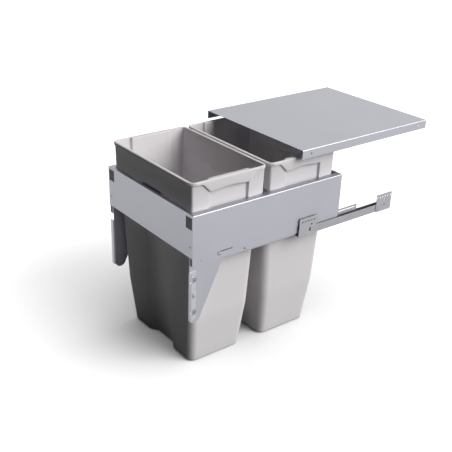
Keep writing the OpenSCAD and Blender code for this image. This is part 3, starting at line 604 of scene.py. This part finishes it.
            # the corners stand at the ring's own height, whatever the end columns do
            bpy.ops.mesh.extrude_edges_move(
                TRANSFORM_OT_translate={"value": (0, 0, new.z - old.z)})
            work = bmesh.from_edit_mesh(piece.data)
            work.verts.index_update()
            points = [v.index for v in work.verts if v.select]
            bpy.ops.mesh.select_mode(type="VERT")
            self.set_ring(piece, points, old, new)
            old = new
        pick(piece, "EDGE", lambda e: e.is_boundary)
        bpy.ops.mesh.edge_face_add()
        close_piece()
        self.round_edges(piece)
        return piece

    def tight(self, edge):
        """Whether an edge lies in the narrow slit between collar and apron."""
        back, front = self.half_w - SLIT_BACK, self.half_w - SLIT_FRONT
        return all(back < abs(v.co.x) < front and abs(v.co.y) > self.s.recess_half_l + TINY
                   and v.co.z > self.rim - SLIT_DEPTH for v in edge.verts)

    def round_edges(self, piece):
        s = self.s
        # the rim's outer edge first, with its own rounding
        pick(piece, "EDGE", lambda e: all(
            abs(v.co.z - self.rim) < TINY and self.on_rim_edge(v.co) for v in e.verts))
        bpy.ops.mesh.bevel(offset=s.rim_round, segments=ROUND_STEPS, affect="EDGES",
                           clamp_overlap=False)
        bpy.ops.mesh.select_mode(type="EDGE")
        bpy.ops.mesh.select_all(action="DESELECT")
        bpy.ops.mesh.edges_select_sharp(sharpness=SHARP)
        work = bmesh.from_edit_mesh(piece.data)
        chosen = {e.index for e in work.edges if e.select and not self.tight(e)}
        pick(piece, "EDGE", lambda e: e.index in chosen)
        bpy.ops.transform.edge_bevelweight(value=1.0)
        apply_modifier(piece, "BEVEL", limit_method="WEIGHT", width=s.edge_r,
                       segments=EDGE_STEPS, use_clamp_overlap=False)

    def on_rim_edge(self, p):
        """Whether a point lies on the rim's outer outline."""
        s = self.s
        x, y = abs(p.x), abs(p.y)
        cx, cy = self.half_w - s.rim_r, self.half_l - s.rim_r
        if x > cx and y > cy:
            return abs(math.hypot(x - cx, y - cy) - s.rim_r) < RIM_SLACK
        return abs(x - self.half_w) < TINY or abs(y - self.half_l) < TINY


def make_bins(sizes):
    maker = BinMaker(sizes, BIN_BOX["front"])
    first = maker.draw("moulded_bin_front")
    shade_smooth(first, SHARP)
    first.data.transform(Matrix.Translation((0, maker.middle, 0)))
    low, high = BIN_BOX["rear"]
    second = copy_piece(first, "moulded_bin_rear", (0, (low.y + high.y) / 2 - maker.middle, 0))
    return first, second


# Fasteners

# The slant of the turned ring's walls, as a share of its width, and the rounding of a pan
# head: how far under its face and how far in from its side, as shares of its edge
RING_SLANT_SHARE = 0.2
PAN_HEAD_SHARES = ((3, 0), (1.5, 0.8), (0.5, 2.4), (0, 4.2))


def hex_reach(radius):
    """Distance from the middle to a six-sided outline."""
    flat = radius * math.cos(math.pi / 6)
    return lambda a: flat / math.cos((a + math.pi / 6) % (math.pi / 3) - math.pi / 6)


def cross_reach(length, arm):
    """Distance from the middle to a cross-shaped outline."""
    def far(a):
        c, s = abs(math.cos(a)) + TINY, abs(math.sin(a)) + TINY
        return max(min(length / c, arm / s), min(length / s, arm / c))
    return far


def turn_piece(name, rows, flats):
    """Draws a turned piece out along X, row by row. A row holds how far out it stands, how
    far its outline is from its middle at an angle, and its middle's height."""
    out, far, rise = rows[0]
    piece = start_piece(name, bpy.ops.mesh.primitive_circle_add, turned=(0, math.pi / 2, 0),
                        vertices=flats, radius=far(0), fill_type="NGON", location=(out, 0, rise))
    pick(piece, "FACE", lambda f: True)
    for new_out, new_far, new_rise in rows[1:]:
        bpy.ops.mesh.extrude_region_move(
            TRANSFORM_OT_translate={"value": (new_out - out, 0, 0)})
        bpy.ops.mesh.select_mode(type="VERT")
        work = bmesh.from_edit_mesh(piece.data)
        work.verts.index_update()
        ring = [v.index for v in work.verts if v.select]
        for i in ring:
            work = hold(piece, [i])
            here = work.verts[i].co.copy()
            a = math.atan2(here.z - rise, here.y)
            y, z = new_far(a) * math.cos(a), new_far(a) * math.sin(a)
            there = Vector((new_out, y, new_rise + z))
            if (there - here).length > NO_STEP:
                bpy.ops.transform.translate(value=there - here)
        hold(piece, ring)
        bmesh.from_edit_mesh(piece.data).select_flush(True)
        bpy.ops.mesh.select_mode(type="FACE")
        out, far, rise = new_out, new_far, new_rise
    close_piece()
    shade_smooth(piece)
    return piece


def circle(radius):
    """Distance from the middle to a round outline."""
    return lambda a: radius


def draw_adjuster(s, reach_out):
    """An eccentric adjuster: shank, disc with a turned ring, and a hex socket."""
    under, face, c = reach_out - s.disc_t, reach_out, s.disc_chamfer
    ring_in = s.ring_r - s.ring_w
    slant = s.ring_w * RING_SLANT_SHARE
    rows = [
        (0.0, circle(s.shank_r), 0.0),
        (under, circle(s.shank_r), 0.0),
        (under, circle(s.disc_r - c), s.throw),
        (under + c, circle(s.disc_r), s.throw),
        (face - c, circle(s.disc_r), s.throw),
        (face, circle(s.disc_r - c), s.throw),
        (face, circle(s.ring_r), s.throw),
        (face - s.ring_h, circle(s.ring_r - slant), s.throw),
        (face - s.ring_h, circle(ring_in + slant), s.throw),
        (face, circle(ring_in), s.throw),
        (face, hex_reach(s.socket_r), 0.0),
        (face - s.socket_h, hex_reach(s.socket_r), 0.0)]
    return turn_piece("eccentric_adjuster", rows, s.flats)


def draw_clamp_screw(s, reach_out):
    """A clamp screw: shank, rounded pan head and cross recess."""
    under, face, r, edge = reach_out - s.screw_head_h, reach_out, s.screw_head_r, s.screw_edge
    cross = cross_reach(s.cross_l, s.cross_w)
    rows = [
        (0.0, circle(s.screw_shank_r), 0.0),
        (under, circle(s.screw_shank_r), 0.0),
        (under, circle(r - edge), 0.0),
        (under + edge, circle(r), 0.0)]
    for down, inwards in PAN_HEAD_SHARES:
        rows.append((face - down * edge, circle(r - inwards * edge), 0.0))
    rows += [(face, cross, 0.0), (face - s.cross_h, cross, 0.0)]
    return turn_piece("clamp_screw", rows, s.flats)


def place_copy(piece, name, side, where):
    """Sets a copy of a right-hand piece on the right (1) or, mirrored, on the left (-1)."""
    twin = copy_piece(piece, name, (0, 0, 0))
    if side < 0:
        twin.data.transform(Matrix.Diagonal((-1, 1, 1, 1)))
        twin.data.flip_normals()
    twin.data.transform(Matrix.Translation(where))
    return twin


def make_adjusters(s):
    low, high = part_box("adjuster_upper_right")
    master = draw_adjuster(s, high.x - low.x)
    made = []
    for level in ("upper", "lower"):
        for hand, side in (("left", -1), ("right", 1)):
            low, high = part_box(f"adjuster_{level}_{hand}")
            inner = low.x if side > 0 else high.x
            where = (inner, (low.y + high.y) / 2, (low.z + high.z) / 2 - s.throw)
            twin = place_copy(master, f"turned_adjuster_{level}_{hand}", side, where)
            made.append((twin, f"eccentric_{level}_{hand}", f"adjuster_{level}_{hand}"))
    bpy.data.objects.remove(master)
    return made


def make_clamp_screws(s):
    low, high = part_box("clamp_screws")
    reach_out = high.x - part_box("adjuster_upper_right")[0].x
    master = draw_clamp_screw(s, reach_out)
    inner, y, z = high.x - reach_out, (low.y + high.y) / 2, (low.z + high.z) / 2
    pair = [place_copy(master, f"screw_{side}", side, (side * inner, y, z)) for side in (1, -1)]
    bpy.data.objects.remove(master)
    bpy.ops.object.select_all(action="DESELECT")
    for screw in pair:
        screw.select_set(True)
    bpy.context.view_layer.objects.active = pair[0]
    bpy.ops.object.join()
    pair[0].name = pair[0].data.name = "pan_head_clamp_screws"
    return pair[0]


# Finishes

class Wire:
    """A socket in a node tree. Sums on it add Math nodes."""

    def __init__(self, nodes, socket):
        self.nodes, self.socket = nodes, socket

    def math(self, operation, *values):
        return self.nodes.node("ShaderNodeMath", {"operation": operation},
                               dict(enumerate(values)))[0]

    def __add__(self, other):
        return self.math("ADD", self, other)

    def __radd__(self, other):
        return self.math("ADD", other, self)

    def __sub__(self, other):
        return self.math("SUBTRACT", self, other)

    def __rsub__(self, other):
        return self.math("SUBTRACT", other, self)

    def __mul__(self, other):
        return self.math("MULTIPLY", self, other)

    def __rmul__(self, other):
        return self.math("MULTIPLY", other, self)

    def __pow__(self, other):
        return self.math("POWER", self, other)

    def __rpow__(self, other):
        return self.math("POWER", other, self)

    def clamped(self):
        return self.math("MINIMUM", self.math("MAXIMUM", self, 0.0), 1.0)


class Made:
    """A node's outputs, by number or name."""

    def __init__(self, nodes, node):
        self.nodes, self.outputs = nodes, node.outputs

    def __getitem__(self, key):
        return Wire(self.nodes, self.outputs[key])


class Nodes:
    """A node tree being put together."""

    def __init__(self, tree):
        self.tree = tree

    def node(self, kind, settings=None, values=None):
        """Adds a node, sets it and feeds its sockets with values or wires."""
        made = self.tree.nodes.new(kind)
        for name, value in (settings or {}).items():
            setattr(made, name, value)
        for key, value in (values or {}).items():
            if isinstance(value, Wire):
                self.tree.links.new(value.socket, made.inputs[key])
            else:
                made.inputs[key].default_value = value
        return Made(self, made)

    def blend(self, amount, a, b):
        """A colour between two others."""
        return self.node("ShaderNodeMix", {"data_type": "RGBA"},
                         {"Factor": amount, 6: self.rgba(a), 7: self.rgba(b)})[2]

    @staticmethod
    def rgba(value):
        return value if isinstance(value, Wire) else (*tuple(value)[:3], 1.0)


class Finish(Nodes):
    """A material being put together."""

    def __init__(self, name, **constants):
        self.material = bpy.data.materials.new(name)
        self.material.use_nodes = True
        super().__init__(self.material.node_tree)
        self.shader = self.tree.nodes["Principled BSDF"]
        for socket, value in constants.items():
            self.shader.inputs[socket.replace("_", " ")].default_value = value
        self.place = self.node("ShaderNodeTexCoord")["Object"]

    def noise(self, scale, detail=2.0, rough=0.5, place=None):
        """Even noise; scale is in waves per metre."""
        return self.node("ShaderNodeTexNoise", None, {
            "Vector": place or self.place, "Scale": scale, "Detail": detail,
            "Roughness": rough})["Fac"]

    def stretched(self, by, scale, detail=2.0):
        """Noise drawn out along an axis, such as a brushed or rolled surface."""
        place = self.node("ShaderNodeMapping", None, {"Vector": self.place, "Scale": by})[0]
        return self.noise(scale, detail, place=place)

    def bump(self, height, strength, depth):
        return self.node("ShaderNodeBump", None, {
            "Height": height, "Strength": strength, "Distance": depth})[0]

    def feed(self, **wires):
        """Joins wires to the shader's sockets, which are named with _ for a space."""
        for socket, wire in wires.items():
            self.tree.links.new(wire.socket, self.shader.inputs[socket.replace("_", " ")])
        return self.material


SCUFF_FOOT = 1.5 * MM


def tint(rgb, by):
    """A lighter or darker shade of a colour."""
    return tuple(min(1.0, c * by) for c in rgb)


def powder_coat(name, rgb):
    """Satin silver-grey powder coat: orange peel, fine metal flake and slight clouding."""
    f = Finish(name, Metallic=1.0)
    cloud = f.noise(scale=5.0, detail=3.0)
    flake = f.node("ShaderNodeTexVoronoi", {"feature": "F1"},
                   {"Vector": f.place, "Scale": 2600.0})["Color"]
    spark = f.node("ShaderNodeSeparateColor", None, {0: flake})[0]
    peel = f.noise(scale=520.0)
    shade = f.blend((cloud * 0.7 + spark * 0.3).clamped(), tint(rgb, 0.93), tint(rgb, 1.07))
    rough = 0.36 + cloud * 0.08 + spark * 0.06
    return f.feed(Base_Color=shade, Roughness=rough,
                  Normal=f.bump(peel, strength=0.16, depth=0.05 * MM))


def zinc_plate(name, rgb, rough):
    """Zinc plating over rolled steel: streaks along the rolling direction and faint bloom."""
    f = Finish(name, Metallic=1.0)
    streak = f.stretched((1.0, 0.02, 1.0), scale=900.0, detail=3.0)
    bloom = f.noise(scale=42.0, detail=4.0, rough=0.6)
    shade = f.blend((streak * 0.5 + bloom * 0.5).clamped(), tint(rgb, 0.84), tint(rgb, 1.14))
    dull = rough + streak * 0.10 + bloom * 0.10
    return f.feed(Base_Color=shade, Roughness=dull,
                  Normal=f.bump(streak, strength=0.12, depth=0.03 * MM))


def turned_steel(name, rgb):
    """Plated fasteners: a fine bright skin with soft stains, on a colour darker than the
    brackets' that paints the shade in their rings and sockets.
    """
    f = Finish(name, Metallic=1.0)
    fine = f.noise(scale=2400.0)
    stain = f.noise(scale=260.0, detail=3.0)
    shade = f.blend(stain, tint(rgb, 0.85), tint(rgb, 1.15))
    rough = 0.24 + fine * 0.08 + stain * 0.1
    return f.feed(Base_Color=shade, Roughness=rough,
                  Normal=f.bump(fine, strength=0.1, depth=0.02 * MM))


def window_shade_steel(name, rgb):
    """Near-black zinc on the corner angles, a painted shade for the front panel's windows: dull,
    with faint iridescent clouds.
    """
    f = Finish(name, Metallic=0.2)
    cloud = f.noise(scale=90.0, detail=3.0)
    grain = f.noise(scale=1500.0)
    shade = f.blend(cloud, tint(rgb, 0.85), tint(rgb, 1.15))
    rough = 0.5 + grain * 0.1 + cloud * 0.06
    return f.feed(Base_Color=shade, Roughness=rough,
                  Normal=f.bump(grain, strength=0.12, depth=0.02 * MM))


def moulded_plastic(name, rgb, scuff_h):
    """Light grey moulded plastic: spark-eroded grain, flow marks and scuffs near the foot."""
    f = Finish(name, IOR=1.5, Specular_IOR_Level=0.15)
    grain = f.noise(scale=1700.0, detail=3.0, rough=0.6)
    flow = f.stretched((1.0, 1.0, 0.25), scale=24.0, detail=3.0)
    cloud = f.noise(scale=7.0)
    mark = f.noise(scale=180.0, detail=4.0, rough=0.7)
    height = f.node("ShaderNodeSeparateXYZ", None, {0: f.place})["Z"]
    foot = BIN_BOX["front"][0].z
    low = f.node("ShaderNodeMapRange", {"interpolation_type": "SMOOTHSTEP"}, {
        "Value": height, "From Min": foot + SCUFF_FOOT, "From Max": foot + scuff_h,
        "To Min": 1.0, "To Max": 0.0})[0]
    scuff = (low * (mark - 0.45) * 2.2).clamped()
    shade = f.blend((flow * 0.5 + cloud * 0.5).clamped(), tint(rgb, 0.965), tint(rgb, 1.03))
    shade = f.blend(scuff * 0.35, shade, tint(rgb, 0.72))
    rough = 0.40 + grain * 0.06 + flow * 0.04 + scuff * 0.1
    return f.feed(Base_Color=shade, Roughness=rough,
                  Normal=f.bump(grain, strength=0.16, depth=0.04 * MM))


def plug_plastic(name, rgb):
    """Plain plastic of the plugs, with a fine grain."""
    f = Finish(name, IOR=1.5)
    grain = f.noise(scale=2200.0)
    cloud = f.noise(scale=60.0)
    shade = f.blend(cloud, tint(rgb, 0.8), tint(rgb, 1.3))
    return f.feed(Base_Color=shade, Roughness=0.42 + grain * 0.12,
                  Normal=f.bump(grain, strength=0.2, depth=0.03 * MM))


# The finishes by the record's material slots, and a paler copy of the plates' zinc for the door
# brackets, which paints more light on them
FINISHES = {}


def make_finishes(c):
    FINISHES.update({
        "lid_steel": powder_coat("lid_powder_coat", c.lid_coat),
        "frame_steel": powder_coat("frame_powder_coat", c.frame_coat),
        "drawer_steel": powder_coat("drawer_rail_coat", c.frame_coat),
        "runner_steel": zinc_plate("runner_zinc", c.zinc, 0.26),
        "plate_steel": zinc_plate("plate_zinc", c.plate, 0.30),
        "bracket": zinc_plate("lit_bracket_zinc", c.bracket, 0.30),
        "fastener_steel": turned_steel("shaded_fastener_zinc", c.shaded_fastener),
        "angle_steel": window_shade_steel("window_shade_zinc", c.angle),
        "cap_plastic": plug_plastic("plug_plastic", c.plug),
        "bin_plastic": moulded_plastic("moulded_grey", c.bin_grey, c.scuff_h),
    })


def coat(piece, finish):
    """Gives a piece one finish all over."""
    piece.data.materials.clear()
    piece.data.materials.append(FINISHES[finish])


def coat_frame():
    """Gives every part that is carried over its finish; the door brackets get a paler copy of the
    plates' zinc, which paints more light on them.
    """
    slot_of = {part["node"]: part["material_slot"] for part in frame["record"]["subparts"]}
    for name, part in frame["nodes"].items():
        coat(part, "bracket" if name.startswith("door_bracket") else slot_of[name])


# Studio

FLOOR_SIDE, FLOOR_CUTS = 14, 4
FLOOR_TINT = (0.99, 0.99, 1.0, 1)
SKY_SAMPLES = 16
LAMP_REACH = 3
SENSOR = 36.0


def white_rays(f):
    """1 where a ray comes from the camera, a reflection or a transmission."""
    path = f.node("ShaderNodeLightPath")
    return (path["Is Camera Ray"] + path["Is Glossy Ray"] + path["Is Transmission Ray"]).clamped()


def make_floor(studio):
    """A plain pale floor with the unit's soft shadow, which throws little light back."""
    z = BIN_BOX["front"][0].z - studio.floor_gap
    floor = start_piece("studio_floor", bpy.ops.mesh.primitive_grid_add,
                        x_subdivisions=FLOOR_CUTS, y_subdivisions=FLOOR_CUTS, size=FLOOR_SIDE,
                        location=(0, 0, z))
    bpy.ops.object.mode_set(mode="OBJECT")
    f = Finish("pale_floor")
    f.tree.nodes.remove(f.shader)
    seen = white_rays(f)
    a, b = studio.floor_pale, studio.bounce
    lit = f.node("ShaderNodeBsdfDiffuse", None, {"Color": (a, a, a, 1)})[0]
    # reflections see the floor a little duller than the camera does
    dull = f.node("ShaderNodeLightPath")["Is Glossy Ray"] * studio.floor_dull
    # what the pieces over a spot leave open of the pale room around it
    open_sky = f.node("ShaderNodeAmbientOcclusion", {"samples": SKY_SAMPLES},
                      {"Distance": studio.shadow_reach})["AO"]
    strength = open_sky ** studio.shadow_depth * (studio.floor_glow - dull)
    glow = f.node("ShaderNodeEmission", None, {"Color": FLOOR_TINT, "Strength": strength})[0]
    pale = f.node("ShaderNodeAddShader", None, {0: lit, 1: glow})[0]
    plain = f.node("ShaderNodeBsdfDiffuse", None, {"Color": (b, b, b, 1)})[0]
    out = f.node("ShaderNodeMixShader", None, {0: seen, 1: plain, 2: pale})[0]
    f.tree.links.new(out.socket, f.tree.nodes["Material Output"].inputs["Surface"])
    floor.data.materials.append(f.material)


def make_world(ambient):
    """A room that is white to the camera and in reflections, and gives little light."""
    world = bpy.data.worlds.new("studio_white")
    world.use_nodes = True
    bpy.context.scene.world = world
    room = Nodes(world.node_tree)
    back = room.tree.nodes["Background"]
    shade = room.blend(white_rays(room), (ambient, ambient, ambient), (1.0, 1.0, 1.0))
    room.tree.links.new(shade.socket, back.inputs["Color"])
    back.inputs["Strength"].default_value = 1.0


def make_light(name, source, strength, spread):
    """A wide, even light from far away, which comes from the given side."""
    light = bpy.data.lights.new(name, "SUN")
    light.energy, light.angle = strength, spread
    lamp = bpy.data.objects.new(name, light)
    bpy.context.scene.collection.objects.link(lamp)
    lamp.location = Vector(source) * LAMP_REACH
    lamp.rotation_euler = Vector(source).to_track_quat("Z", "Y").to_euler()


def make_camera(s):
    """A camera at the viewing angle of the photograph, with its small roll and shift."""
    camera = bpy.data.cameras.new("view")
    camera.sensor_width = SENSOR
    camera.lens = s.lens
    camera.shift_x, camera.shift_y = s.shift_x, s.shift_y
    ca, sa = math.cos(s.azimuth), math.sin(s.azimuth)
    ce, se = math.cos(s.elevation), math.sin(s.elevation)
    back = Vector((sa * ce, -ca * ce, se))
    right = Vector((ca, sa, 0))
    up = back.cross(right)
    cr, sr = math.cos(s.roll), math.sin(s.roll)
    right, up = right * cr + up * sr, up * cr - right * sr
    eye = Vector(s.aim) + back * s.distance
    holder = bpy.data.objects.new("view", camera)
    bpy.context.scene.collection.objects.link(holder)
    holder.matrix_world = Matrix((
        (right.x, up.x, back.x, eye.x), (right.y, up.y, back.y, eye.y),
        (right.z, up.z, back.z, eye.z), (0, 0, 0, 1)))
    bpy.context.scene.camera = holder


# Operators

class WASTEBINS_OT_finishes(bpy.types.Operator):
    """Mix the finishes and coat the sheet parts, runners and plates"""
    bl_idname = "wastebins.finishes"
    bl_label = "Finishes"

    def execute(self, context):
        make_finishes(context.scene.waste_finishes)
        coat_frame()
        return {"FINISHED"}


class WASTEBINS_OT_bins(bpy.types.Operator):
    """Model the two moulded bins with their rims, grips, grooves and feet"""
    bl_idname = "wastebins.bins"
    bl_label = "Bins"

    def execute(self, context):
        first, second = make_bins(context.scene.waste_bins)
        for piece, body, node in ((first, "front_bin", "bin_front"),
                                  (second, "rear_bin", "bin_rear")):
            coat(piece, "bin_plastic")
            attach(piece, body)
            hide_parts(node)
        return {"FINISHED"}


class WASTEBINS_OT_fasteners(bpy.types.Operator):
    """Model the eccentric adjusters and the clamp screws of the door brackets"""
    bl_idname = "wastebins.fasteners"
    bl_label = "Fasteners"

    def execute(self, context):
        s = context.scene.waste_fasteners
        made = make_adjusters(s)
        made.append((make_clamp_screws(s), "carriage", "clamp_screws"))
        for piece, body, node in made:
            coat(piece, "fastener_steel")
            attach(piece, body)
            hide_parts(node)
        return {"FINISHED"}


class WASTEBINS_OT_stage(bpy.types.Operator):
    """Set up the pale floor, the soft lights and the camera"""
    bl_idname = "wastebins.stage"
    bl_label = "Studio"

    def execute(self, context):
        s = context.scene.waste_studio
        make_floor(s)
        make_world(s.ambient)
        make_light("key", s.key_from, s.key, s.key_spread)
        make_light("top", s.top_from, s.top, s.top_spread)
        make_camera(s)
        context.scene.view_settings.view_transform = "Standard"
        return {"FINISHED"}


class WASTEBINS_PT_unit(bpy.types.Panel):
    """Shows a button for each step that builds the unit"""
    bl_idname = "WASTEBINS_PT_unit"
    bl_label = "Waste bin unit"
    bl_space_type = "VIEW_3D"
    bl_region_type = "UI"
    bl_category = "Waste bins"

    def draw(self, context):
        for step in STEPS:
            self.layout.operator(step.bl_idname)


STEPS = (WASTEBINS_OT_finishes, WASTEBINS_OT_bins, WASTEBINS_OT_fasteners,
         WASTEBINS_OT_stage)
GROUPS = {"waste_bins": BinSizes, "waste_fasteners": FastenerSizes,
          "waste_finishes": Finishes, "waste_studio": Studio}


def register():
    for made in (*GROUPS.values(), *STEPS, WASTEBINS_PT_unit):
        bpy.utils.register_class(made)
    for name, group in GROUPS.items():
        setattr(bpy.types.Scene, name, PointerProperty(type=group))


def unregister():
    for name in GROUPS:
        delattr(bpy.types.Scene, name)
    for made in reversed((*GROUPS.values(), *STEPS, WASTEBINS_PT_unit)):
        bpy.utils.unregister_class(made)


def main():
    register()
    bpy.ops.wastebins.finishes()
    bpy.ops.wastebins.bins()
    bpy.ops.wastebins.fasteners()
    bpy.ops.wastebins.stage()


if __name__ == "__main__":
    main()
